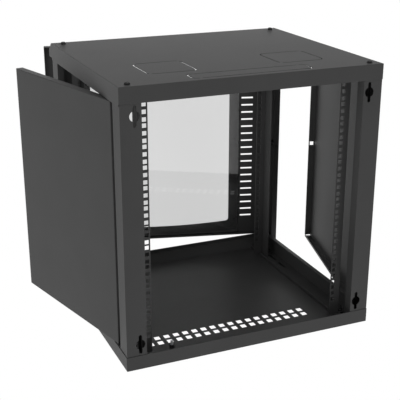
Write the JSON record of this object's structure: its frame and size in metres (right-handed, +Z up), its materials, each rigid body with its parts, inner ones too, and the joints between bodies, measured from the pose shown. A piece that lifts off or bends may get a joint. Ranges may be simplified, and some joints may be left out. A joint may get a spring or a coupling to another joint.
{
  "type": "wall mount network cabinet",
  "caption": "Wall mount network cabinet for 19 inch equipment, open to the wall, with a glazed front door and hinged side panels standing ajar.",
  "frame": {"origin": "centre of the underside that the cabinet can stand on", "axes": "+Y towards the wall, -Y towards the front door, +Z up, +X to the right as seen from the front door"},
  "size_m": [0.8002, 0.6895, 0.625],
  "materials": {
    "black_powder": "fine textured black grey powder coat",
    "dark_screws": "black oxide",
    "zinc_plate": "bright zinc plate",
    "nickel_lock": "nickel plate",
    "black_nylon": "moulded nylon",
    "clear_glass": "clear toughened glass",
    "black_tape": "black foam tape"
  },
  "bodies": {
    "cabinet": {"top_cover": "black_powder", "bottom_tray": "black_powder", "rear_post_left": "black_powder", "rear_post_right": "black_powder", "front_post_left": "black_powder", "front_post_right": "black_powder", "lower_beam_left": "black_powder", "lower_beam_right": "black_powder", "upper_beam_left": "black_powder", "upper_beam_right": "black_powder", "rear_rail_left": "black_powder", "rear_rail_right": "black_powder", "front_rail_left": "black_powder", "front_rail_right": "black_powder", "cover_screws": "dark_screws", "cover_nuts": "zinc_plate", "tray_screws": "dark_screws", "rail_screws": "dark_screws", "rail_nuts": "dark_screws", "earth_stud": "zinc_plate", "earth_nut": "zinc_plate", "earth_washer": "zinc_plate", "door_bush_top": "black_nylon", "door_bush_bottom": "black_nylon", "hinge_brackets_left": "black_powder", "hinge_brackets_right": "black_powder", "bolt_guide_left": "black_nylon", "bolt_guide_right": "black_nylon"},
    "door": {"door_frame": "black_powder", "door_glass": "clear_glass", "glass_tape": "black_tape", "door_pin_top": "zinc_plate", "door_pin_bottom": "zinc_plate", "lock_housing": "nickel_lock", "lock_nut": "zinc_plate"},
    "door_lock": {"lock_plug": "nickel_lock", "lock_cam": "zinc_plate", "lock_screw": "zinc_plate"},
    "left_panel": {"side_panel_left": "black_powder", "panel_pins_left": "zinc_plate"},
    "right_panel": {"side_panel_right": "black_powder", "panel_pins_right": "zinc_plate"},
    "left_panel_bolt": {"slide_bolt_left": "zinc_plate"},
    "right_panel_bolt": {"slide_bolt_right": "zinc_plate"}
  },
  "joints": [
    {"name": "door_hinge", "type": "hinge", "parent": "cabinet", "child": "door", "pos_m": [-0.291, -0.2575, 0.31], "axis": [0, 0, -1], "range_deg": [-15.4, 164.6]},
    {"name": "door_lock_turn", "type": "hinge", "parent": "door", "child": "door_lock", "pos_m": [0.25435, -0.41653, 0.31], "axis": [0.2656, 0.9641, 0], "range_deg": [0, 90]},
    {"name": "left_panel_hinge", "type": "hinge", "parent": "cabinet", "child": "left_panel", "pos_m": [-0.294, 0.1982, 0.31], "axis": [0, 0, -1], "range_deg": [-14.8, 80.2]},
    {"name": "right_panel_hinge", "type": "hinge", "parent": "cabinet", "child": "right_panel", "pos_m": [0.294, 0.1982, 0.31], "axis": [0, 0, 1], "range_deg": [-14.8, 80.2]},
    {"name": "left_panel_bolt_slide", "type": "slide", "parent": "cabinet", "child": "left_panel_bolt", "axis": [0, 1, 0], "range_m": [0, 0.01]},
    {"name": "right_panel_bolt_slide", "type": "slide", "parent": "cabinet", "child": "right_panel_bolt", "axis": [0, 1, 0], "range_m": [0, 0.01]}
  ]
}
